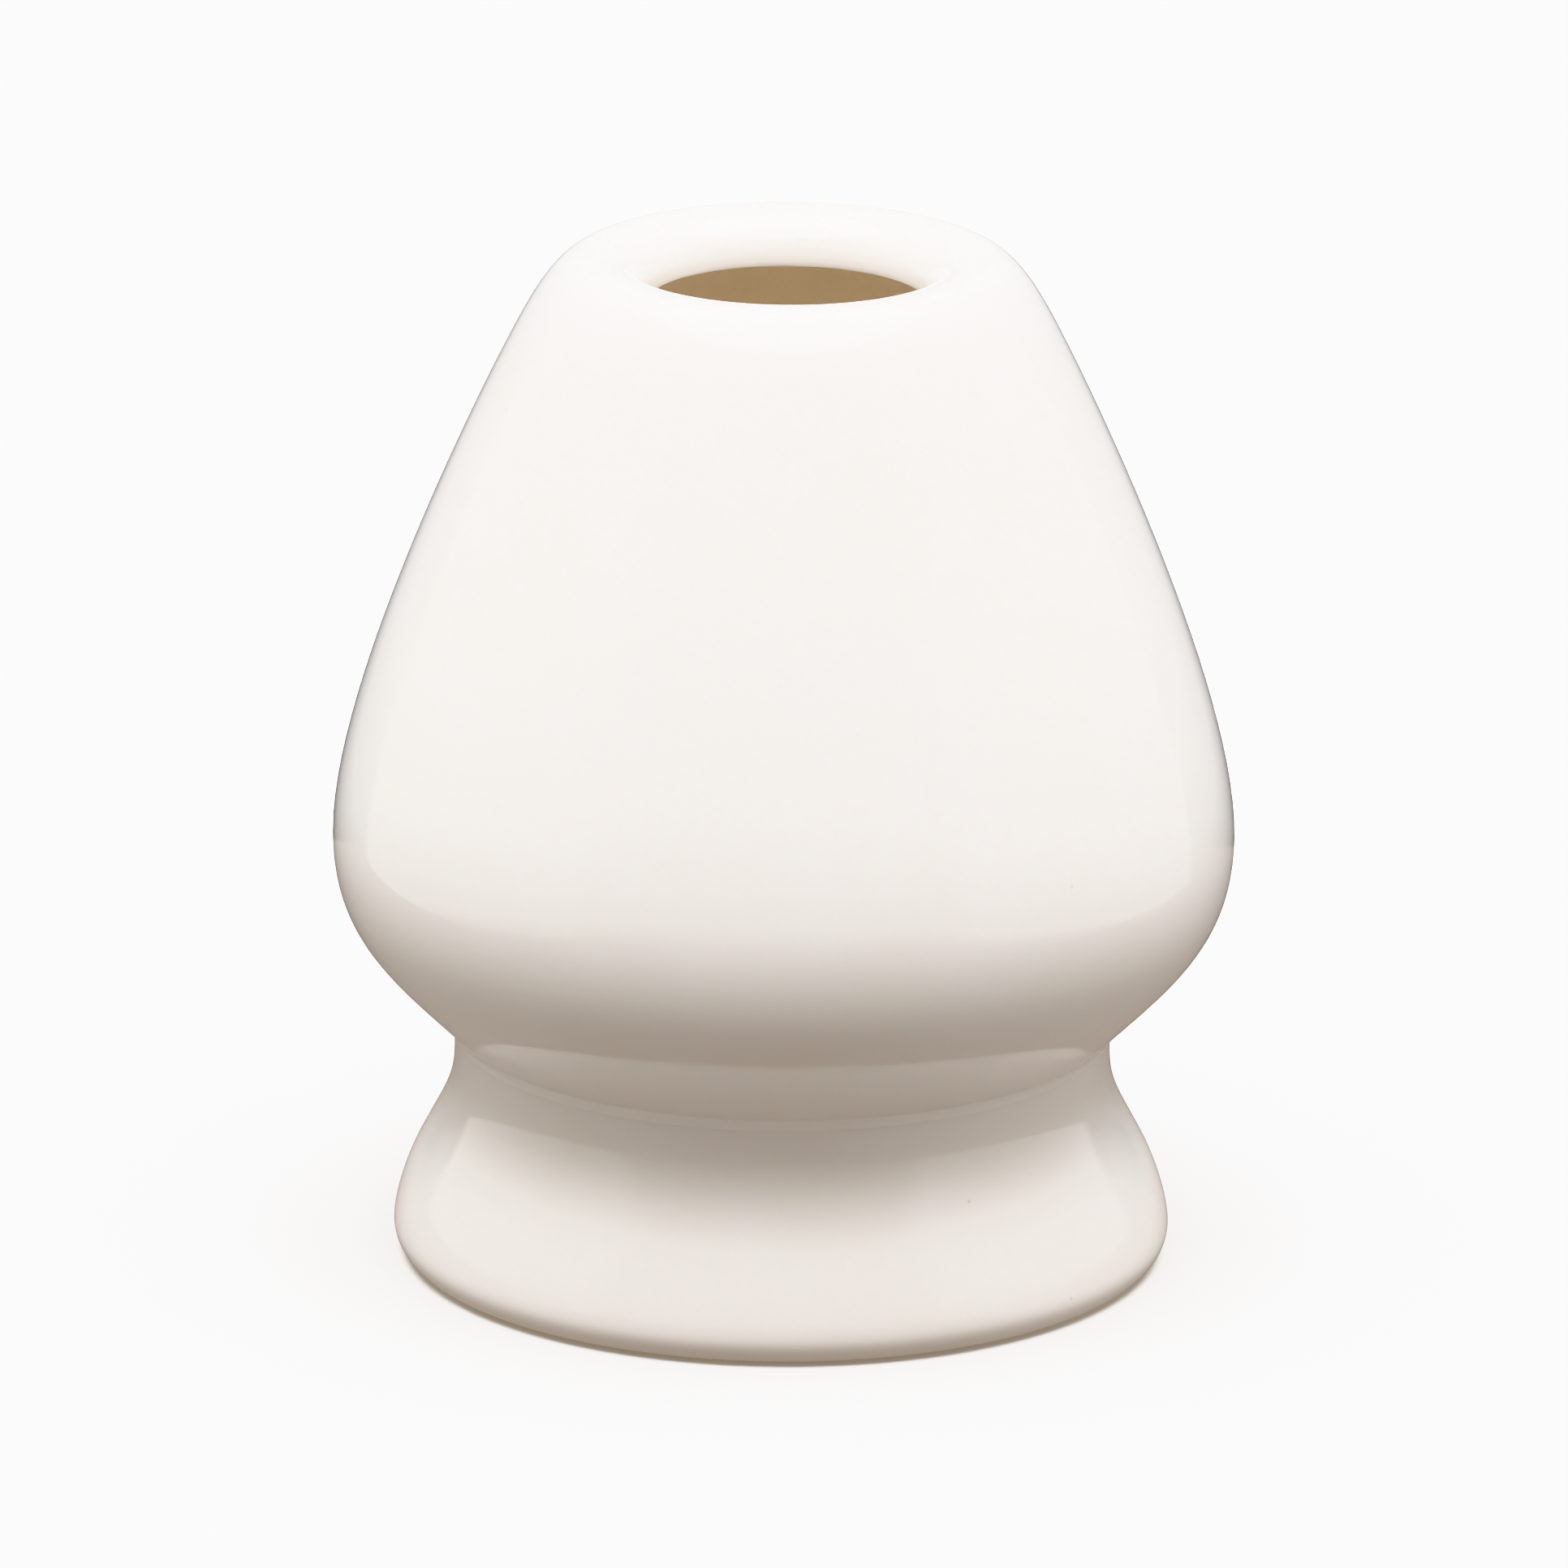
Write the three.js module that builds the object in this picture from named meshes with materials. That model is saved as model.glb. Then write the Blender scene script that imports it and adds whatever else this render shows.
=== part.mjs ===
// A porcelain tea whisk holder: a hollow bell on a short flared foot. A bamboo whisk is set
// tines down over the bell, with its core in the round mouth, and dries in shape.
//
// Millimetres, +Z up. The origin is the centre of the foot ring, on the surface that the holder
// stands on, and the holder is round about the Z axis. Heights are measured up from the origin.
//
// The holder is made as the potter makes it, from two slip castings with an even wall, luted
// together with liquid clay at the waist and fired as one.
import * as THREE from "three";

// The wall that the slip leaves on the mould.
const castingWall = 3.8;

// The bell's outside, from the waist crease up to the crown of the rim.
const creaseHeight = 15.66;
const undersideAngle = 45.2;
const bellyRadius = 30;
const bellyHeight = 29;
const shoulderRadius = 19.12;
const shoulderHeight = 61.2;
const shoulderLeanAngle = 26.3;
const crownRadius = 13.26;
const crownHeight = 68.6;

// The mouth, where the rim rolls over into a round hole through the wall. Its depth is how far
// below the crown it is narrowest.
const mouthRadius = 9.2;
const mouthDepth = 3.2;

// The foot's outside, from the neck down to the ring that it stands on.
const neckRadius = 21.9;
const neckHeight = 14.12;
const skirtRadius = 24.43;
const skirtHeight = 6.9;
const skirtLeanAngle = 27.1;
const footRadius = 25.94;
const footWidestHeight = 1.92;
const footEdgeRadius = 2.02;
const footRingWidth = 2.4;
const footInnerEdgeRadius = 0.8;

// The luting slip: how far its fillet reaches from the crease along both castings, and how far
// its bead stands out inside the waist.
const filletReach = 0.5;
const beadStandOut = 0.35;

// How far the two handles of a curved run reach, as shares of the run's chord. Runs are listed
// in the order that an outline takes them, up the outside.
const undersidePullShares = [0.448, 0.404];
const flankPullShares = [0.28, 0.082];
const shoulderPullShares = [0.447, 0.238];
const lipPullShares = [0.361, 0.501];
const lipUndersidePullShares = [0.6, 0.06];
const innerShoulderPullShares = [0.4, 0.12];
const skirtPullShares = [0.207, 0.369];
const neckPullShares = [0.442, 0.393];
const evenPullShares = [0.33, 0.33];

// The facets of the round forms: round the axis, and along each kind of run.
const facetsRound = 64;
const longRunSteps = 11;
const runSteps = 8;
const shortRunSteps = 5;
const straightSteps = 1;

// The headings of an outline, in degrees from straight out towards straight up.
const upward = 90;
const inward = 180;
const downward = 270;
const outward = 360;

// Where the castings meet. The fillet is tangent to the neck below the crease and to the bell's
// underside above it, so its two ends set the height of each joint face.
const undersideSlope = THREE.MathUtils.degToRad(undersideAngle);
const footJointHeight = creaseHeight - filletReach;
const bellJointHeight = creaseHeight + filletReach * Math.sin(undersideSlope);
const bellJointRadius = neckRadius + filletReach * Math.cos(undersideSlope);
const waistBoreRadius = neckRadius - castingWall;

// A place on an outline, and the heading of the outline there.
function place(radius, height, heading) {
  return { radius, height, heading };
}

// A curved run of an outline, which leaves one place and arrives at the next along their
// headings.
function run(from, to, pullShares) {
  const start = new THREE.Vector2(from.radius, from.height);
  const end = new THREE.Vector2(to.radius, to.height);
  const chord = start.distanceTo(end);
  const leaving = THREE.MathUtils.degToRad(from.heading);
  const arriving = THREE.MathUtils.degToRad(to.heading);
  const firstHandle = new THREE.Vector2(Math.cos(leaving), Math.sin(leaving));
  const lastHandle = new THREE.Vector2(Math.cos(arriving), Math.sin(arriving));
  return new THREE.CubicBezierCurve(
    start,
    firstHandle.multiplyScalar(chord * pullShares[0]).add(start),
    lastHandle.multiplyScalar(-chord * pullShares[1]).add(end),
    end,
  );
}

// A rounded edge: part of a circle about a centre, from one angle round to a larger one.
function roundedEdge(centreRadius, centreHeight, edgeRadius, fromAngle, toAngle) {
  return new THREE.EllipseCurve(
    centreRadius,
    centreHeight,
    edgeRadius,
    edgeRadius,
    fromAngle,
    toAngle,
    false,
  );
}

// One closed outline from curves that follow each other, each cut into its own number of steps.
// The flat joint faces and the foot ring are the straight lines from one curve to the next.
function outline(curves) {
  const points = curves.flatMap(([curve, steps]) => curve.getPoints(steps));
  const corners = points.filter(
    (point, index) => index === 0 || !point.equals(points[index - 1]),
  );
  return [...corners, corners[0].clone()];
}

// A named piece: its outline turned about the Z axis, seated with its base at baseHeight.
function piece(name, points, baseHeight, material) {
  const seated = points.map(
    (point) => new THREE.Vector2(point.x, point.y - baseHeight),
  );
  const turned = new THREE.LatheGeometry(seated, facetsRound);
  const mesh = new THREE.Mesh(turned.rotateX(Math.PI / 2), material);
  mesh.name = name;
  mesh.position.z = baseHeight;
  return mesh;
}

// The upper casting. Outside it has its underside, full belly, long convex flank, shoulder and
// rolled rim. Inside, its wall follows the outside from the mouth down to the waist.
function bellOutline() {
  const lean = THREE.MathUtils.degToRad(shoulderLeanAngle);
  const joint = place(bellJointRadius, bellJointHeight, undersideAngle);
  const belly = place(bellyRadius, bellyHeight, upward);
  const shoulder = place(shoulderRadius, shoulderHeight, upward + shoulderLeanAngle);
  const crown = place(crownRadius, crownHeight, inward);
  const mouth = place(mouthRadius, crownHeight - mouthDepth, downward);
  const innerCrown = place(crownRadius, crownHeight - castingWall, outward);
  const innerShoulder = place(
    shoulderRadius - castingWall * Math.cos(lean),
    shoulderHeight - castingWall * Math.sin(lean),
    downward + shoulderLeanAngle,
  );
  const innerBelly = place(bellyRadius - castingWall, bellyHeight, downward);
  const innerJoint = place(waistBoreRadius, bellJointHeight, downward);
  return outline([
    [run(joint, belly, undersidePullShares), runSteps],
    [run(belly, shoulder, flankPullShares), longRunSteps],
    [run(shoulder, crown, shoulderPullShares), runSteps],
    [run(crown, mouth, lipPullShares), runSteps],
    [run(mouth, innerCrown, lipUndersidePullShares.toReversed()), shortRunSteps],
    [run(innerCrown, innerShoulder, innerShoulderPullShares.toReversed()), shortRunSteps],
    [run(innerShoulder, innerBelly, flankPullShares.toReversed()), runSteps],
    [run(innerBelly, innerJoint, evenPullShares), runSteps],
  ]);
}

// The lower casting. Outside it has its rounded edge, flared skirt and straight neck. Inside, an
// open hollow widens from the waist down to the foot ring.
function footOutline() {
  const edgeTurn = Math.asin(footWidestHeight / footEdgeRadius);
  const edgeCentreRadius = footRadius - footEdgeRadius;
  const ringOuterRadius = edgeCentreRadius + footEdgeRadius * Math.cos(edgeTurn);
  const ringInnerRadius = ringOuterRadius - footRingWidth;
  const edge = roundedEdge(
    edgeCentreRadius,
    footWidestHeight,
    footEdgeRadius,
    -edgeTurn,
    0,
  );
  const innerEdge = roundedEdge(
    ringInnerRadius,
    footInnerEdgeRadius,
    footInnerEdgeRadius,
    Math.PI,
    (Math.PI * 3) / 2,
  );
  const widest = place(footRadius, footWidestHeight, upward);
  const skirt = place(skirtRadius, skirtHeight, upward + skirtLeanAngle);
  const neck = place(neckRadius, neckHeight, upward);
  const joint = place(neckRadius, footJointHeight, upward);
  const innerJoint = place(waistBoreRadius, footJointHeight, downward);
  const innerFoot = place(
    ringInnerRadius - footInnerEdgeRadius,
    footInnerEdgeRadius,
    downward,
  );
  return outline([
    [edge, shortRunSteps],
    [run(widest, skirt, skirtPullShares), shortRunSteps],
    [run(skirt, neck, neckPullShares), shortRunSteps],
    [run(neck, joint, evenPullShares), straightSteps],
    [run(innerJoint, innerFoot, evenPullShares), runSteps],
    [innerEdge, shortRunSteps],
  ]);
}

// The ring of slip between the castings. Outside it is the small hollow fillet at the bottom of
// the crease, and inside it is the bead that pressing the castings together squeezed out.
function lutingOutline() {
  const below = place(neckRadius, footJointHeight, upward);
  const above = place(bellJointRadius, bellJointHeight, undersideAngle);
  const bead = new THREE.EllipseCurve(
    waistBoreRadius,
    (bellJointHeight + footJointHeight) / 2,
    beadStandOut,
    (bellJointHeight - footJointHeight) / 2,
    Math.PI / 2,
    (Math.PI * 3) / 2,
    false,
  );
  return outline([
    [run(below, above, evenPullShares), shortRunSteps],
    [bead, shortRunSteps],
  ]);
}

const glazedPorcelain = new THREE.MeshStandardMaterial({
  color: 0xf6f3ec,
  roughness: 0.08,
  metalness: 0,
});
const firedSlip = new THREE.MeshStandardMaterial({
  color: 0xefeae0,
  roughness: 0.2,
  metalness: 0,
});

const holder = new THREE.Group();
holder.add(
  piece("bell", bellOutline(), bellJointHeight, glazedPorcelain),
  piece("luting_slip", lutingOutline(), footJointHeight, firedSlip),
  piece("foot", footOutline(), 0, glazedPorcelain),
);

export default holder;
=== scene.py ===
"""The looks of a white porcelain tea whisk holder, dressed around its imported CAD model.

The holder is made from two slip castings, a hollow bell and a short flared foot, which are
luted together at the waist with liquid clay, dipped in clear glaze and fired as one. A bamboo
whisk is set over the bell to dry, with its core in the round mouth.

Lengths are metres, +Z is up, and the origin is the centre of the ring that the holder stands
on. Headings of an outline are degrees, from straight out towards straight up.
"""

import logging
import math
from dataclasses import dataclass, field
from enum import Enum

import bmesh
import bpy
import numpy as np
from mathutils import Matrix, Vector


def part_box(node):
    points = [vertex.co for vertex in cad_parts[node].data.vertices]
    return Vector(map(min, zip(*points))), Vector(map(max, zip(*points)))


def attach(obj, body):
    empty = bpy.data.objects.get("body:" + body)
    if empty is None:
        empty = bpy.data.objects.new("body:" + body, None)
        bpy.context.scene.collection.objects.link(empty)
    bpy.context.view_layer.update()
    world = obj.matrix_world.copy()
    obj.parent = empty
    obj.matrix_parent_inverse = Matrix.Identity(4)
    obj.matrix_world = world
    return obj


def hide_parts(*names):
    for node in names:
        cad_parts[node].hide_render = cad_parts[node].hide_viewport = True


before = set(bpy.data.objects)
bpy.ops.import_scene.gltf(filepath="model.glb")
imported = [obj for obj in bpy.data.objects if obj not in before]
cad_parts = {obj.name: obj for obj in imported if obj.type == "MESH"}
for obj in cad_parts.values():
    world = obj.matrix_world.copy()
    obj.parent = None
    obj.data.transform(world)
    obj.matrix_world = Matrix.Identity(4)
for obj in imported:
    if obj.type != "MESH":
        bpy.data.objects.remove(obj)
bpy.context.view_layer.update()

log = logging.getLogger("whisk_holder")

MM = 0.001

UPWARD = 90.0
INWARD = 180.0
DOWNWARD = 270.0
OUTWARD = 360.0

FACETS_ROUND = 192
RUN_STEPS = 28
EDGE_STEPS = 12
SHARP_ANGLE = math.radians(30.0)


class Zone(Enum):
    """How the surface along a stretch of an outline was finished."""

    GLAZED = "glazed"
    # The hollow: a duller thin glaze, whose colour carries painted warm shade.
    HOLLOW = "hollow"
    BARE = "bare"


@dataclass(frozen=True)
class Place:
    """A place on an outline, and the heading of the outline there."""

    radius: float
    height: float
    heading: float


@dataclass(frozen=True)
class Stretch:
    """A stretch of an outline: its points, as radius and height, and its zone."""

    points: np.ndarray
    zone: Zone = Zone.GLAZED


@dataclass(frozen=True)
class Outline:
    """A closed outline, with the zone of each of its points."""

    points: np.ndarray
    zones: list[Zone]


def run(start: Place, end: Place, pull_shares: tuple[float, float]) -> np.ndarray:
    """Draws a curve that leaves one place and arrives at the next along their headings.

    Args:
        start: Where the curve leaves.
        end: Where the curve arrives.
        pull_shares: How far its two handles reach, as shares of its chord.

    Returns:
        The curve's points, one row each of radius and height.
    """
    first = np.array([start.radius, start.height])
    last = np.array([end.radius, end.height])
    chord = np.linalg.norm(last - first)
    leaving = math.radians(start.heading)
    arriving = math.radians(end.heading)
    first_handle = first + chord * pull_shares[0] * np.array([math.cos(leaving), math.sin(leaving)])
    last_handle = last - chord * pull_shares[1] * np.array([math.cos(arriving), math.sin(arriving)])
    t = np.linspace(0.0, 1.0, RUN_STEPS + 1)[:, None]
    rest = 1.0 - t
    near = rest**3 * first + 3.0 * rest**2 * t * first_handle
    far = 3.0 * rest * t**2 * last_handle + t**3 * last
    return near + far


def arc(
    centre: tuple[float, float], reach: tuple[float, float], start: float, end: float
) -> np.ndarray:
    """Draws part of an ellipse about a centre.

    Args:
        centre: The radius and height of the centre.
        reach: How far the ellipse reaches out and up.
        start: The angle that it starts at, in radians.
        end: The angle that it ends at, in radians.

    Returns:
        The arc's points, one row each of radius and height.
    """
    angle = np.linspace(start, end, EDGE_STEPS + 1)
    out = centre[0] + reach[0] * np.cos(angle)
    up = centre[1] + reach[1] * np.sin(angle)
    return np.column_stack([out, up])


def close_outline(stretches: list[Stretch]) -> Outline:
    """Joins stretches that follow each other into one closed outline, without doubled points."""
    points: list[np.ndarray] = []
    zones: list[Zone] = []
    for stretch in stretches:
        for point in stretch.points:
            if points and np.allclose(point, points[-1], atol=1e-9):
                continue
            points.append(point)
            zones.append(stretch.zone)
    return Outline(np.array(points), zones)


def zone_share(outline: Outline, zone: Zone, blend: float) -> np.ndarray:
    """Says how far each point of an outline lies in a zone, with a soft edge.

    Args:
        outline: The outline.
        zone: The zone asked for.
        blend: The width of the soft edge, measured along the outline.

    Returns:
        One share for each point, 1 inside the zone and 0 outside it.
    """
    following = np.roll(outline.points, -1, axis=0)
    lengths = np.linalg.norm(following - outline.points, axis=1)
    along = np.concatenate([[0.0], np.cumsum(lengths)])
    inside = np.array([one is zone for one in outline.zones])
    changes = np.nonzero(inside != np.roll(inside, -1))[0]
    if len(changes) == 0:
        return inside.astype(float)
    edges = along[changes] + lengths[changes] / 2.0
    apart = np.abs(along[:-1, None] - edges[None, :])
    nearest = np.minimum(apart, along[-1] - apart).min(axis=1)
    share = np.clip(0.5 + np.where(inside, nearest, -nearest) / blend, 0.0, 1.0)
    return share * share * (3.0 - 2.0 * share)


def linear(colour: str) -> tuple[float, float, float, float]:
    """Turns an sRGB hex colour, such as #F4F1EA, into the linear colour that a node takes."""
    channels = []
    for start in (1, 3, 5):
        level = int(colour[start : start + 2], 16) / 255.0
        channels.append(level / 12.92 if level <= 0.04045 else ((level + 0.055) / 1.055) ** 2.4)
    return (channels[0], channels[1], channels[2], 1.0)


def add_node(
    tree: bpy.types.NodeTree,
    kind: str,
    inputs: dict[str | int, object],
    output: str | int = 0,
    **settings: object,
) -> bpy.types.NodeSocket:
    """Adds a node with its settings, values and links.

    Args:
        tree: The tree that the node joins.
        kind: Blender's name for the node.
        inputs: For each input, by its number, identifier or name, a value or another output.
        output: The number, identifier or name of the output that is wanted.
        **settings: The node's own settings.

    Returns:
        The wanted output, or the first input of a node that has no output.
    """
    node = tree.nodes.new(kind)
    for name, value in settings.items():
        setattr(node, name, value)

    def find(sockets: bpy.types.bpy_prop_collection, key: str | int) -> bpy.types.NodeSocket:
        """Finds a socket by its number, identifier or name."""
        if isinstance(key, int):
            return sockets[key]
        return next(socket for socket in sockets if key in (socket.identifier, socket.name))

    for key, value in inputs.items():
        socket = find(node.inputs, key)
        if isinstance(value, bpy.types.NodeSocket):
            tree.links.new(value, socket)
        else:
            socket.default_value = value
    return find(node.outputs, output) if node.outputs else node.inputs[0]


def lay_sheet(name: str, corners: list[tuple[float, float, float]]) -> bpy.types.Object:
    """Lays one flat sheet between four corners.

    Args:
        name: The sheet's name.
        corners: Its corners, anticlockwise as seen from above.

    Returns:
        The new object.
    """
    mesh = bpy.data.meshes.new(name)
    mesh.from_pydata(corners, [], [(0, 1, 2, 3)])
    sheet = bpy.data.objects.new(name, mesh)
    bpy.context.scene.collection.objects.link(sheet)
    return sheet


@dataclass(frozen=True)
class DippedPorcelain:
    """Slip-cast porcelain, dipped in clear glaze and fired glossy.

    The eye sees a warm white body through clear glass: sharp reflections that swim a little
    where the glaze ran, a deeper tone where it lies thick, a creamier colour in the hollow that is
    painted warm shade, a duller gloss there where the glaze was poured in and out again and lies
    thin, and a dry ring where it was wiped off so that the foot wouldn't stick to the kiln shelf.
    """

    name: str = "dipped_porcelain"
    body_colour: str = "#F5F2ED"
    thick_glaze_colour: str = "#F3F0EA"
    # Painted shade: the hollow's creamier colour stands for the warm shade inside it.
    hollow_painted_shade_colour: str = "#FCF0DA"
    biscuit_colour: str = "#E6DDCB"
    speck_colour: str = "#C4B79F"
    glaze_roughness: float = 0.02
    thin_glaze_roughness: float = 0.35
    biscuit_roughness: float = 0.8
    glass_ior: float = 1.5
    glow_share: float = 0.12
    glow_depth: float = 1.4 * MM
    glow_reach: tuple[float, float, float] = (1.0, 0.7, 0.45)
    run_width: float = 9.0 * MM
    run_height: float = 0.012 * MM
    run_detail: float = 1.5
    ripple_width: float = 2.2 * MM
    ripple_height: float = 0.001 * MM
    ripple_detail: float = 1.0
    grain_width: float = 0.22 * MM
    grain_height: float = 0.02 * MM
    grain_detail: float = 2.0
    detail_fade: float = 0.5
    speck_spacing: float = 7.0 * MM
    speck_width: float = 0.16 * MM
    speck_share: float = 0.4
    thin_below: float = 0.35
    thick_above: float = 0.75

    def material(self) -> bpy.types.Material:
        """Builds the material: one glossy dielectric whose colour, gloss and relief vary."""
        material = bpy.data.materials.new(self.name)
        material.use_nodes = True
        tree = material.node_tree
        tree.nodes.clear()
        spot = add_node(tree, "ShaderNodeTexCoord", {}, "Object")
        hollow = add_node(tree, "ShaderNodeAttribute", {}, "Fac", attribute_name=Zone.HOLLOW.value)
        bare = add_node(tree, "ShaderNodeAttribute", {}, "Fac", attribute_name=Zone.BARE.value)
        runs = self.noise(tree, spot, self.run_width, self.run_detail)
        ripples = self.noise(tree, spot, self.ripple_width, self.ripple_detail)
        grain = self.noise(tree, spot, self.grain_width, self.grain_detail)
        specks = self.specks(tree, spot)

        thickness = add_node(
            tree,
            "ShaderNodeMapRange",
            {"Value": runs, "From Min": self.thin_below, "From Max": self.thick_above},
        )
        # The hollow's layer paints its warm shade into the colour.
        layers = (
            (thickness, self.thick_glaze_colour),
            (specks, self.speck_colour),
            (hollow, self.hollow_painted_shade_colour),
            (bare, self.biscuit_colour),
        )
        colour: bpy.types.NodeSocket | tuple[float, ...] = linear(self.body_colour)
        for share, layer_colour in layers:
            colour = add_node(
                tree,
                "ShaderNodeMix",
                {"Factor_Float": share, "A_Color": colour, "B_Color": linear(layer_colour)},
                "Result_Color",
                data_type="RGBA",
            )
        roughness: bpy.types.NodeSocket | float = self.glaze_roughness
        for share, layer_roughness in (
            (hollow, self.thin_glaze_roughness),
            (bare, self.biscuit_roughness),
        ):
            roughness = add_node(
                tree,
                "ShaderNodeMix",
                {"Factor_Float": share, "A_Float": roughness, "B_Float": layer_roughness},
                "Result_Float",
                data_type="FLOAT",
            )
        gritty = add_node(tree, "ShaderNodeMath", {0: grain, 1: bare}, operation="MULTIPLY")
        height: bpy.types.NodeSocket | float = 0.0
        for relief, depth in (
            (runs, self.run_height),
            (ripples, self.ripple_height),
            (gritty, self.grain_height),
        ):
            height = add_node(
                tree, "ShaderNodeMath", {0: relief, 1: depth, 2: height}, operation="MULTIPLY_ADD"
            )
        relief_normal = add_node(
            tree, "ShaderNodeBump", {"Height": height, "Distance": 1.0, "Strength": 1.0}
        )
        surface = add_node(
            tree,
            "ShaderNodeBsdfPrincipled",
            {
                "Base Color": colour,
                "Roughness": roughness,
                "Metallic": 0.0,
                "IOR": self.glass_ior,
                "Subsurface Weight": self.glow_share,
                "Subsurface Radius": self.glow_reach,
                "Subsurface Scale": self.glow_depth,
                "Normal": relief_normal,
            },
        )
        add_node(tree, "ShaderNodeOutputMaterial", {"Surface": surface})
        return material

    def noise(
        self, tree: bpy.types.NodeTree, spot: bpy.types.NodeSocket, width: float, detail: float
    ) -> bpy.types.NodeSocket:
        """Adds soft noise whose patches are about as wide as a real width."""
        return add_node(
            tree,
            "ShaderNodeTexNoise",
            {
                "Vector": spot,
                "Scale": 1.0 / width,
                "Detail": detail,
                "Roughness": self.detail_fade,
            },
            "Fac",
        )

    def specks(self, tree: bpy.types.NodeTree, spot: bpy.types.NodeSocket) -> bpy.types.NodeSocket:
        """Adds the few fine iron specks that any white clay keeps, as a share of their colour."""
        apart = add_node(
            tree,
            "ShaderNodeTexVoronoi",
            {"Vector": spot, "Scale": 1.0 / self.speck_spacing},
            "Distance",
        )
        reach = self.speck_width / self.speck_spacing
        return add_node(
            tree,
            "ShaderNodeMapRange",
            {
                "Value": apart,
                "From Min": reach / 2.0,
                "From Max": reach,
                "To Min": self.speck_share,
                "To Max": 0.0,
            },
        )


@dataclass(frozen=True)
class GlazeWithPaintedCreaseLight(DippedPorcelain):
    """The same glaze over the luting slip, in the bottom of the crease, with painted light.

    Its colours are lighter than the glaze elsewhere: a painted light line along the crease,
    against the deep shade there.
    """

    name: str = "glaze_over_slip_painted_light"
    # Painted light: lighter than the glaze elsewhere, for a light line in the crease's deep shade.
    body_colour: str = "#FDFAF4"
    thick_glaze_colour: str = "#FBF7EF"


@dataclass(frozen=True)
class PaperSweep:
    """Plain matte paper, rolled out under the holder: an even pale tone with no gloss."""

    name: str = "matte_paper"
    paper_colour: str = "#F1F0ED"
    paper_roughness: float = 0.95

    def material(self) -> bpy.types.Material:
        """Builds the paper, which shows from above only, so that the ring shows from below."""
        material = bpy.data.materials.new(self.name)
        material.use_nodes = True
        tree = material.node_tree
        tree.nodes.clear()
        paper = add_node(
            tree,
            "ShaderNodeBsdfDiffuse",
            {"Color": linear(self.paper_colour), "Roughness": self.paper_roughness},
        )
        clear = add_node(tree, "ShaderNodeBsdfTransparent", {})
        below = add_node(tree, "ShaderNodeNewGeometry", {}, "Backfacing")
        surface = add_node(tree, "ShaderNodeMixShader", {0: below, 1: paper, 2: clear})
        add_node(tree, "ShaderNodeOutputMaterial", {"Surface": surface})
        return material


@dataclass
class TurnedPiece:
    """A piece that is round about the Z axis, and stands for a node of the CAD model."""

    name: str = ""
    node: str = ""
    slot: str = ""
    # How softly the hollow's duller gloss and painted warm shade fade in.
    hollow_edge_blend: float = 1.4 * MM
    glaze_line: float = 0.08 * MM

    def outline(self) -> Outline:
        """Draws the piece's closed outline, up its outside and down its inside."""
        raise NotImplementedError

    def mesh(self) -> bpy.types.Object:
        """Turns the outline about the Z axis into a smooth closed mesh.

        The mesh keeps two values at each point for its finish: how far the point lies in the
        hollow, and how far it lies on the bare ring.

        Returns:
            The new object.
        """
        outline = self.outline()
        angle = np.linspace(0.0, math.tau, FACETS_ROUND, endpoint=False)
        radius = outline.points[:, 0][:, None]
        height = np.repeat(outline.points[:, 1][:, None], FACETS_ROUND, axis=1)
        corners = np.stack([radius * np.cos(angle), radius * np.sin(angle), height], axis=2)

        here = np.arange(len(outline.points))[:, None] * FACETS_ROUND
        above = np.roll(here, -1, axis=0)
        side = np.arange(FACETS_ROUND)[None, :]
        next_side = np.roll(side, -1, axis=1)
        faces = np.stack([here + side, here + next_side, above + next_side, above + side], axis=2)

        mesh = bpy.data.meshes.new(self.name)
        mesh.from_pydata(corners.reshape(-1, 3).tolist(), [], faces.reshape(-1, 4).tolist())
        for zone, blend in ((Zone.HOLLOW, self.hollow_edge_blend), (Zone.BARE, self.glaze_line)):
            share = zone_share(outline, zone, blend)
            values = mesh.attributes.new(zone.value, "FLOAT", "POINT")
            values.data.foreach_set("value", np.repeat(share, FACETS_ROUND).astype(np.float32))

        work = bmesh.new()
        work.from_mesh(mesh)
        for face in work.faces:
            face.smooth = True
        for edge in work.edges:
            edge.smooth = edge.calc_face_angle(0.0) < SHARP_ANGLE
        work.to_mesh(mesh)
        work.free()
        piece = bpy.data.objects.new(self.name, mesh)
        bpy.context.scene.collection.objects.link(piece)
        return piece

    def dress(self, piece: bpy.types.Object, finish: bpy.types.Material) -> None:
        """Gives the piece its finish and its body, and hides the CAD node that it stands for."""
        piece.data.materials.append(finish)
        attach(piece, "root")
        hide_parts(self.node)


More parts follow.
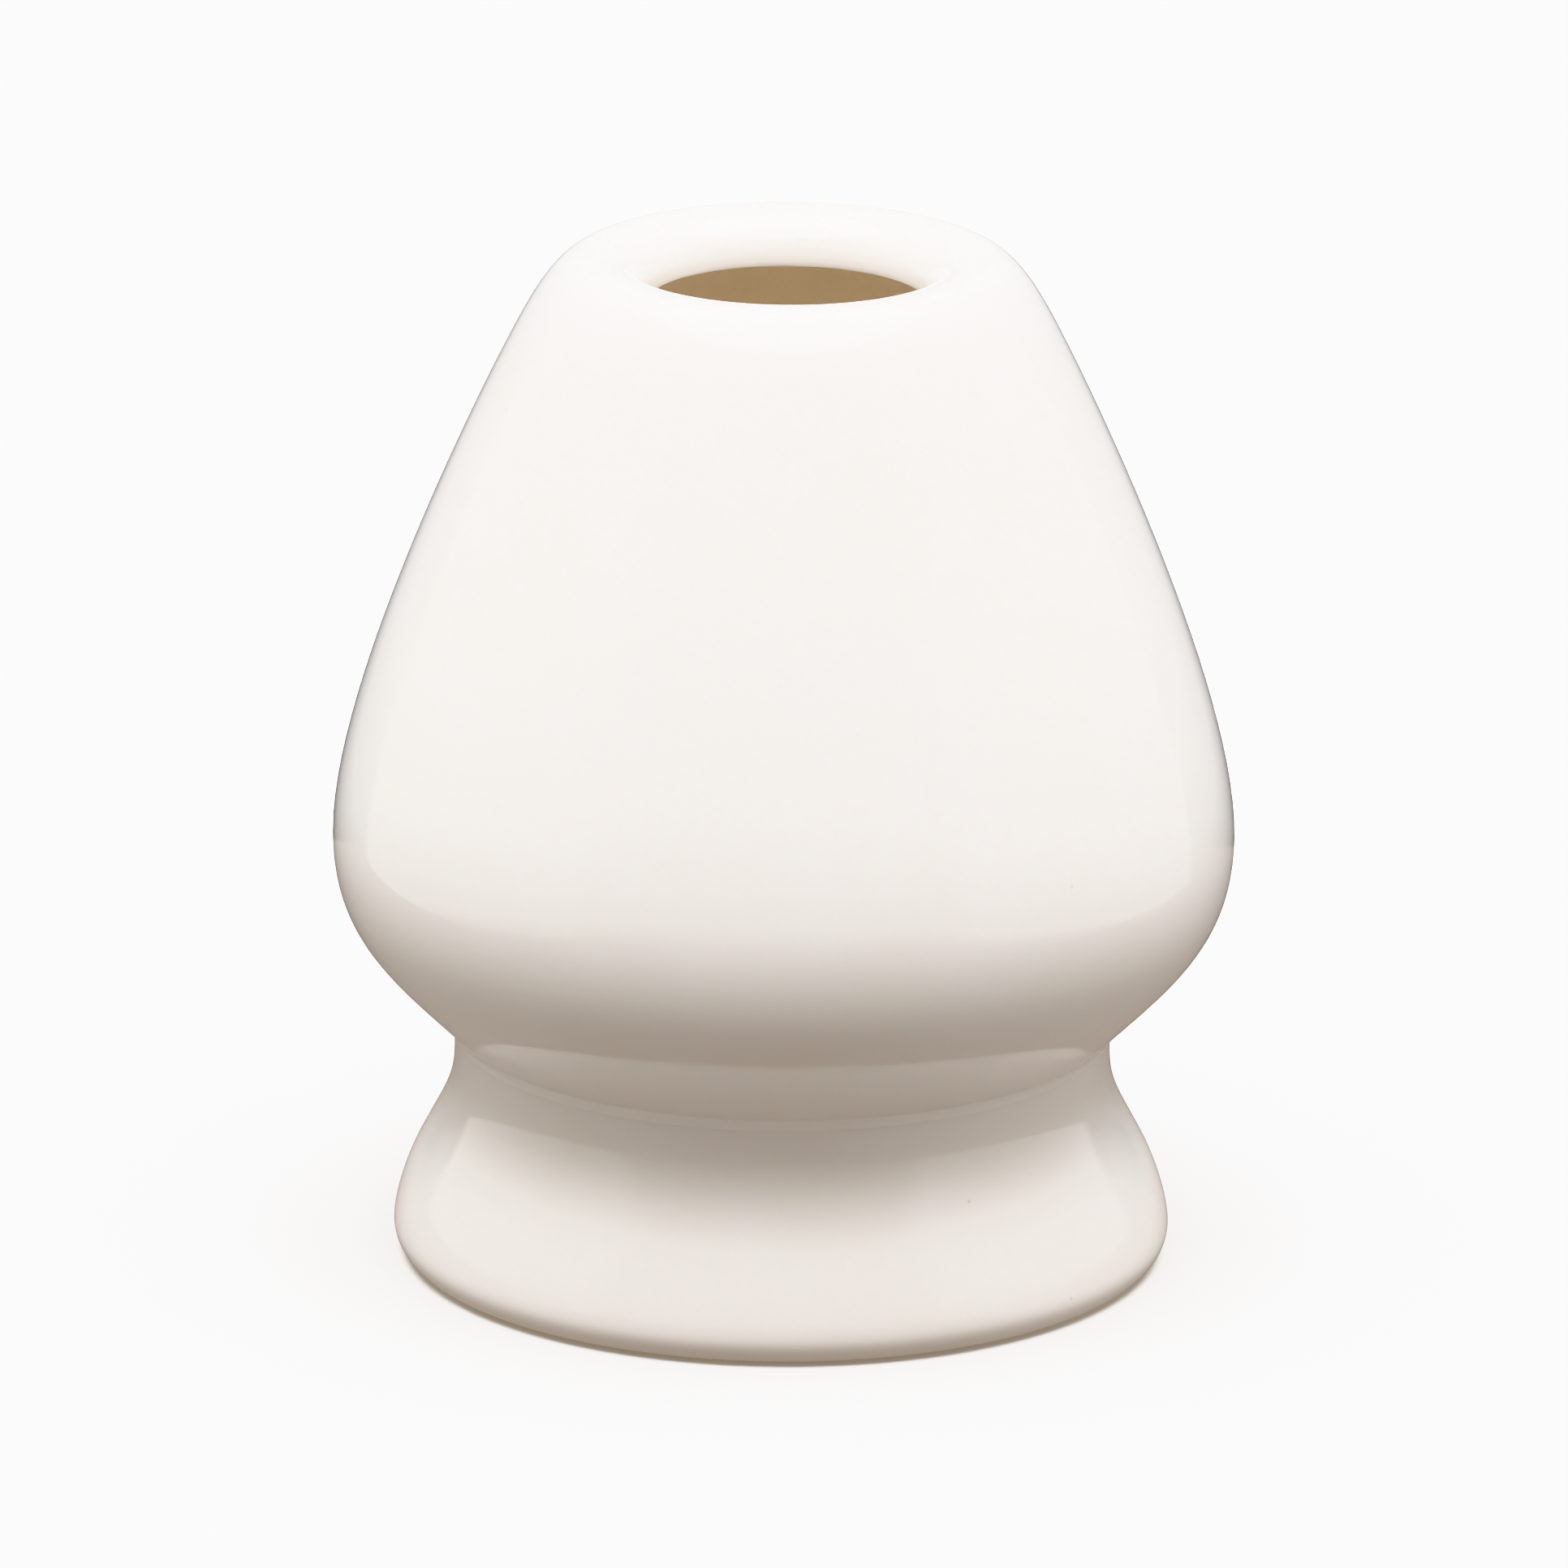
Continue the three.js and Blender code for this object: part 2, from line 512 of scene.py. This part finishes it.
@dataclass
class Bell(TurnedPiece):
    """The upper casting: underside, full belly, long flank, shoulder and rolled rim.

    The glossy glaze runs over the rim; just under it the hollow's duller finish and painted
    warm shade begin. The widest reach, the crown and the joint face come from the CAD model's box.
    """

    name: str = "bell_shell"
    node: str = "bell"
    slot: str = "glazed_porcelain"
    wall: float = 3.8 * MM
    joint_radius: float = 22.252 * MM
    underside_angle: float = 45.2
    belly_height: float = 29.0 * MM
    shoulder_radius: float = 19.12 * MM
    shoulder_height: float = 61.2 * MM
    shoulder_lean: float = 26.3
    crown_radius: float = 13.26 * MM
    mouth_radius: float = 9.2 * MM
    mouth_depth: float = 3.2 * MM
    waist_bore_radius: float = 18.1 * MM
    underside_pull_shares: tuple[float, float] = (0.448, 0.404)
    flank_pull_shares: tuple[float, float] = (0.28, 0.082)
    shoulder_pull_shares: tuple[float, float] = (0.447, 0.238)
    lip_pull_shares: tuple[float, float] = (0.361, 0.501)
    lip_underside_pull_shares: tuple[float, float] = (0.6, 0.06)
    inner_shoulder_pull_shares: tuple[float, float] = (0.4, 0.12)
    even_pull_shares: tuple[float, float] = (0.33, 0.33)
    hollow_shade_start: int = RUN_STEPS * 2 // 3

    def outline(self) -> Outline:
        """Draws the bell, up its outside, over the rim and down its hollow."""
        low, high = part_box(self.node)
        joint_height = low.z
        lean = math.radians(self.shoulder_lean)
        joint = Place(self.joint_radius, joint_height, self.underside_angle)
        belly = Place(high.x, self.belly_height, UPWARD)
        shoulder = Place(self.shoulder_radius, self.shoulder_height, UPWARD + self.shoulder_lean)
        crown = Place(self.crown_radius, high.z, INWARD)
        mouth = Place(self.mouth_radius, high.z - self.mouth_depth, DOWNWARD)
        inner_crown = Place(self.crown_radius, high.z - self.wall, OUTWARD)
        inner_shoulder = Place(
            self.shoulder_radius - self.wall * math.cos(lean),
            self.shoulder_height - self.wall * math.sin(lean),
            DOWNWARD + self.shoulder_lean,
        )
        inner_belly = Place(high.x - self.wall, self.belly_height, DOWNWARD)
        inner_joint = Place(self.waist_bore_radius, joint_height, DOWNWARD)
        under_lip = run(mouth, inner_crown, self.lip_underside_pull_shares[::-1])
        inner_bend = run(inner_crown, inner_shoulder, self.inner_shoulder_pull_shares[::-1])
        inner_flank = run(inner_shoulder, inner_belly, self.flank_pull_shares[::-1])
        return close_outline(
            [
                Stretch(run(joint, belly, self.underside_pull_shares)),
                Stretch(run(belly, shoulder, self.flank_pull_shares)),
                Stretch(run(shoulder, crown, self.shoulder_pull_shares)),
                Stretch(run(crown, mouth, self.lip_pull_shares)),
                # The hollow's painted warm shade starts part way under the lip.
                Stretch(under_lip[: self.hollow_shade_start]),
                Stretch(under_lip[self.hollow_shade_start :], Zone.HOLLOW),
                Stretch(inner_bend, Zone.HOLLOW),
                Stretch(inner_flank, Zone.HOLLOW),
                Stretch(run(inner_belly, inner_joint, self.even_pull_shares), Zone.HOLLOW),
            ]
        )


@dataclass
class Foot(TurnedPiece):
    """The lower casting: straight neck, flared skirt, rounded edge and the ring it stands on.

    Its widest reach and its joint face come from the CAD model's box. The glaze ends in a soft
    roll just above the ring, and the bare clay under it is thinner by the glaze.
    """

    name: str = "foot_shell"
    node: str = "foot"
    slot: str = "glazed_porcelain"
    neck_radius: float = 21.9 * MM
    neck_height: float = 14.12 * MM
    skirt_radius: float = 24.43 * MM
    skirt_height: float = 6.9 * MM
    skirt_lean: float = 27.1
    widest_height: float = 1.92 * MM
    edge_radius: float = 2.02 * MM
    ring_width: float = 2.4 * MM
    inner_edge_radius: float = 0.8 * MM
    waist_bore_radius: float = 18.1 * MM
    skirt_pull_shares: tuple[float, float] = (0.207, 0.369)
    neck_pull_shares: tuple[float, float] = (0.442, 0.393)
    even_pull_shares: tuple[float, float] = (0.33, 0.33)
    glaze_thickness: float = 0.12 * MM
    glaze_end_height: float = 0.4 * MM

    def outline(self) -> Outline:
        """Draws the foot, from the ring up its outside and down its hollow."""
        low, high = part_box(self.node)
        centre = (high.x - self.edge_radius, low.z + self.widest_height)
        ring_turn = math.asin(self.widest_height / self.edge_radius)
        glaze_turn = math.asin((self.widest_height - self.glaze_end_height) / self.edge_radius)
        ring_outer_radius = centre[0] + self.edge_radius * math.cos(ring_turn)
        ring_inner_radius = ring_outer_radius - self.ring_width
        clay_radius = self.edge_radius - self.glaze_thickness
        clay_turn = math.asin(min(1.0, self.widest_height / clay_radius))
        roll = self.glaze_thickness / 2.0
        roll_centre = (
            centre[0] + (self.edge_radius - roll) * math.cos(glaze_turn),
            centre[1] - (self.edge_radius - roll) * math.sin(glaze_turn),
        )
        clay_edge = arc(centre, (clay_radius, clay_radius), -clay_turn, -glaze_turn)
        glaze_end = arc(roll_centre, (roll, roll), -glaze_turn - math.pi / 2.0, -glaze_turn)
        glazed_edge = arc(centre, (self.edge_radius, self.edge_radius), -glaze_turn, 0.0)
        inner_edge = arc(
            (ring_inner_radius, low.z + self.inner_edge_radius),
            (self.inner_edge_radius, self.inner_edge_radius),
            math.pi,
            math.pi * 1.5,
        )
        widest = Place(high.x, centre[1], UPWARD)
        skirt = Place(self.skirt_radius, self.skirt_height, UPWARD + self.skirt_lean)
        neck = Place(self.neck_radius, self.neck_height, UPWARD)
        joint = Place(self.neck_radius, high.z, UPWARD)
        inner_joint = Place(self.waist_bore_radius, high.z, DOWNWARD)
        inner_foot = Place(inner_edge[0][0], inner_edge[0][1], DOWNWARD)
        return close_outline(
            [
                Stretch(clay_edge, Zone.BARE),
                Stretch(glaze_end),
                Stretch(glazed_edge),
                Stretch(run(widest, skirt, self.skirt_pull_shares)),
                Stretch(run(skirt, neck, self.neck_pull_shares)),
                Stretch(run(neck, joint, self.even_pull_shares)),
                Stretch(run(inner_joint, inner_foot, self.even_pull_shares), Zone.HOLLOW),
                Stretch(inner_edge, Zone.BARE),
            ]
        )


@dataclass
class LutingBead(TurnedPiece):
    """The ring of slip between the castings: a hollow fillet outside, a squeezed bead inside.

    Its height and its outer reach come from the CAD model's box.
    """

    name: str = "luting_bead"
    node: str = "luting_slip"
    slot: str = "fired_slip"
    neck_radius: float = 21.9 * MM
    underside_angle: float = 45.2
    waist_bore_radius: float = 18.1 * MM
    bead_stand_out: float = 0.35 * MM
    even_pull_shares: tuple[float, float] = (0.33, 0.33)

    def outline(self) -> Outline:
        """Draws the fillet up the outside and the bead down the inside."""
        low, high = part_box(self.node)
        below = Place(self.neck_radius, low.z, UPWARD)
        above = Place(high.x, high.z, self.underside_angle)
        bead = arc(
            (self.waist_bore_radius, (low.z + high.z) / 2.0),
            (self.bead_stand_out, (high.z - low.z) / 2.0),
            math.pi / 2.0,
            math.pi * 1.5,
        )
        return close_outline(
            [Stretch(run(below, above, self.even_pull_shares)), Stretch(bead, Zone.HOLLOW)]
        )


@dataclass(frozen=True)
class TentWall:
    """One wall of the light tent: its colour, and how bright it is."""

    name: str
    colour: str
    strength: float


@dataclass(frozen=True)
class LightTent:
    """The white tent round the holder, which is open behind it.

    The directions that each wall fills are in degrees: azimuth from the front, either way, and
    elevation above the horizon.
    """

    front: TentWall = TentWall("front_wall", "#FFF4E9", 0.44)
    left: TentWall = TentWall("left_wall", "#FFFCF8", 1.03)
    right: TentWall = TentWall("right_wall", "#FFFBF9", 1.085)
    back: TentWall = TentWall("open_back", "#FFFFFF", 0.01)
    roof: TentWall = TentWall("roof", "#F7F9FF", 8.4)
    turn: float = 3.0
    front_edge: tuple[float, float] = (47.0, 53.0)
    back_edge: tuple[float, float] = (127.0, 131.0)
    roof_edge: tuple[float, float] = (53.0, 57.0)

    def light(self) -> None:
        """Builds the world's light from the walls, with soft edges between them."""
        world = bpy.data.worlds.new("light_tent")
        bpy.context.scene.world = world
        world.use_nodes = True
        tree = world.node_tree
        tree.nodes.clear()
        ahead = add_node(tree, "ShaderNodeTexCoord", {}, "Generated")
        turned = add_node(
            tree,
            "ShaderNodeVectorRotate",
            {"Vector": ahead, "Angle": math.radians(self.turn)},
            rotation_type="Z_AXIS",
        )
        x, y, z = add_node(tree, "ShaderNodeSeparateXYZ", {"Vector": turned}).node.outputs
        front = add_node(tree, "ShaderNodeMath", {0: y, 1: -1.0}, operation="MULTIPLY")
        azimuth = add_node(tree, "ShaderNodeMath", {0: x, 1: front}, operation="ARCTAN2")
        either_way = add_node(tree, "ShaderNodeMath", {0: azimuth}, operation="ABSOLUTE")
        roof_low, roof_high = (math.sin(math.radians(angle)) for angle in self.roof_edge)
        beside = self.edge(tree, either_way, *map(math.radians, self.front_edge))
        behind = self.edge(tree, either_way, *map(math.radians, self.back_edge))
        overhead = self.edge(tree, z, roof_low, roof_high)
        rightward = add_node(tree, "ShaderNodeMath", {0: azimuth, 1: 0.0}, operation="GREATER_THAN")
        on_the_right = add_node(
            tree, "ShaderNodeMath", {0: beside, 1: rightward}, operation="MULTIPLY"
        )
        regions = (
            (self.left, beside),
            (self.right, on_the_right),
            (self.back, behind),
            (self.roof, overhead),
        )
        surface = self.glow(tree, self.front)
        for wall, share in regions:
            surface = add_node(
                tree, "ShaderNodeMixShader", {0: share, 1: surface, 2: self.glow(tree, wall)}
            )
        add_node(tree, "ShaderNodeOutputWorld", {"Surface": surface})

    def edge(
        self, tree: bpy.types.NodeTree, value: bpy.types.NodeSocket, low: float, high: float
    ) -> bpy.types.NodeSocket:
        """Adds a soft edge, 0 where the value is at low and 1 where it is at high."""
        return add_node(
            tree,
            "ShaderNodeMapRange",
            {"Value": value, "From Min": low, "From Max": high},
            interpolation_type="SMOOTHSTEP",
        )

    def glow(self, tree: bpy.types.NodeTree, wall: TentWall) -> bpy.types.NodeSocket:
        """Adds a wall's even glow."""
        return add_node(
            tree,
            "ShaderNodeBackground",
            {"Color": linear(wall.colour), "Strength": wall.strength},
            name=wall.name,
        )


@dataclass(frozen=True)
class DimBoard:
    """The warm board under the holder, which its glaze mirrors below the bright walls.

    Only the holder sees it: the camera sees the paper over it. Its edges lie where the edges of
    the reflections in the photograph place them. Its glow fades away from the foot, and is
    strongest inside the ring, where it passes on the light that falls through the mouth.
    """

    name: str = "dim_board"
    colour: str = "#FFECDC"
    ring_strength: float = 0.60
    near_strength: float = 0.40
    far_strength: float = 0.25
    ring: tuple[float, float] = (22.0 * MM, 23.0 * MM)
    fade: tuple[float, float] = (34.0 * MM, 90.0 * MM)
    half_width: float = 121.0 * MM
    front_edge: float = -208.0 * MM
    back_edge: float = 89.0 * MM
    drop: float = 0.1 * MM

    def mesh(self) -> bpy.types.Object:
        """Lays the board just under the paper."""
        corners = [
            (-self.half_width, self.front_edge, -self.drop),
            (self.half_width, self.front_edge, -self.drop),
            (self.half_width, self.back_edge, -self.drop),
            (-self.half_width, self.back_edge, -self.drop),
        ]
        return lay_sheet(self.name, corners)

    def dress(self, board: bpy.types.Object) -> None:
        """Lights the board, and hides it from the camera."""
        material = bpy.data.materials.new(self.name)
        material.use_nodes = True
        tree = material.node_tree
        tree.nodes.clear()
        spot = add_node(tree, "ShaderNodeTexCoord", {}, "Object")
        away = add_node(tree, "ShaderNodeVectorMath", {0: spot}, "Value", operation="LENGTH")
        inside = self.fade_out(tree, away, self.ring, self.ring_strength, 0.0)
        outside = self.fade_out(tree, away, self.fade, self.near_strength, self.far_strength)
        strength = add_node(tree, "ShaderNodeMath", {0: inside, 1: outside}, operation="MAXIMUM")
        glow = add_node(
            tree, "ShaderNodeEmission", {"Color": linear(self.colour), "Strength": strength}
        )
        add_node(tree, "ShaderNodeOutputMaterial", {"Surface": glow})
        board.data.materials.append(material)
        board.visible_camera = False

    def fade_out(
        self,
        tree: bpy.types.NodeTree,
        away: bpy.types.NodeSocket,
        reach: tuple[float, float],
        start: float,
        end: float,
    ) -> bpy.types.NodeSocket:
        """Adds a soft loss of strength between two distances from the middle."""
        return add_node(
            tree,
            "ShaderNodeMapRange",
            {
                "Value": away,
                "From Min": reach[0],
                "From Max": reach[1],
                "To Min": start,
                "To Max": end,
            },
            interpolation_type="SMOOTHSTEP",
        )


@dataclass(frozen=True)
class PhotoCamera:
    """The photograph's camera, found from the outline of the round body.

    Its focal length is in pixels of the photograph, which is 1932 pixels square.
    """

    photo_pixels: int = 1932
    focal_pixels: float = 18965.0
    sensor_width: float = 36.0
    distance: float = 1023.3 * MM
    target_height: float = 32.19 * MM
    elevation: float = 17.18
    roll: float = 0.4
    near_limit: float = 50.0 * MM
    far_limit: float = 20.0

    def stand(self) -> None:
        """Stands the camera in front of the holder and makes it the scene's camera."""
        rise = math.radians(self.elevation)
        back = Vector((0.0, -math.cos(rise), math.sin(rise)))
        data = bpy.data.cameras.new("photo_camera")
        data.sensor_width = self.sensor_width
        data.lens = self.focal_pixels / self.photo_pixels * self.sensor_width
        data.clip_start = self.near_limit
        data.clip_end = self.far_limit
        camera = bpy.data.objects.new("photo_camera", data)
        camera.location = Vector((0.0, 0.0, self.target_height)) + back * self.distance
        facing = back.to_track_quat("Z", "Y").to_matrix().to_4x4()
        lean = Matrix.Rotation(math.radians(self.roll), 4, "Z")
        camera.rotation_euler = (facing @ lean).to_euler()
        bpy.context.scene.collection.objects.link(camera)
        bpy.context.scene.camera = camera


@dataclass
class Studio:
    """A plain pale floor under soft light, seen by the photograph's camera."""

    floor_half_width: float = 4.0
    tent: LightTent = field(default_factory=LightTent)
    board: DimBoard = field(default_factory=DimBoard)
    camera: PhotoCamera = field(default_factory=PhotoCamera)
    sweep: PaperSweep = field(default_factory=PaperSweep)

    def mesh(self) -> bpy.types.Object:
        """Lays the floor, one flat sheet with the holder standing in its middle."""
        half = self.floor_half_width
        corners = [(-half, -half, 0.0), (half, -half, 0.0), (half, half, 0.0), (-half, half, 0.0)]
        return lay_sheet("floor", corners)

    def dress(self, floor: bpy.types.Object) -> None:
        """Papers the floor, and keeps its glare off the holder, which stood on a dim board."""
        floor.data.materials.append(self.sweep.material())
        floor.visible_diffuse = False
        floor.visible_glossy = False
        floor.visible_transmission = False
        floor.visible_shadow = False


def report(piece: bpy.types.Object) -> None:
    """Logs a piece's name, mesh and size in millimetres."""
    size = [round(length / MM, 2) for length in piece.dimensions]
    log.info("%s: %d faces, %s mm", piece.name, len(piece.data.polygons), size)


def main() -> None:
    """Builds the pieces and the studio."""
    logging.basicConfig(level=logging.INFO, format="%(message)s")
    scene = bpy.context.scene
    scene.view_settings.view_transform = "Khronos PBR Neutral"

    porcelain = DippedPorcelain().material()
    # The luting bead gets the glaze with painted light along the crease.
    crease_painted_light = GlazeWithPaintedCreaseLight().material()
    for maker, finish in ((Foot(), porcelain), (LutingBead(), crease_painted_light), (Bell(), porcelain)):
        piece = maker.mesh()
        maker.dress(piece, finish)
        bpy.context.view_layer.update()
        report(piece)

    studio = Studio()
    floor = studio.mesh()
    studio.dress(floor)
    studio.board.dress(studio.board.mesh())
    studio.tent.light()
    studio.camera.stand()


if __name__ == "__main__":
    main()
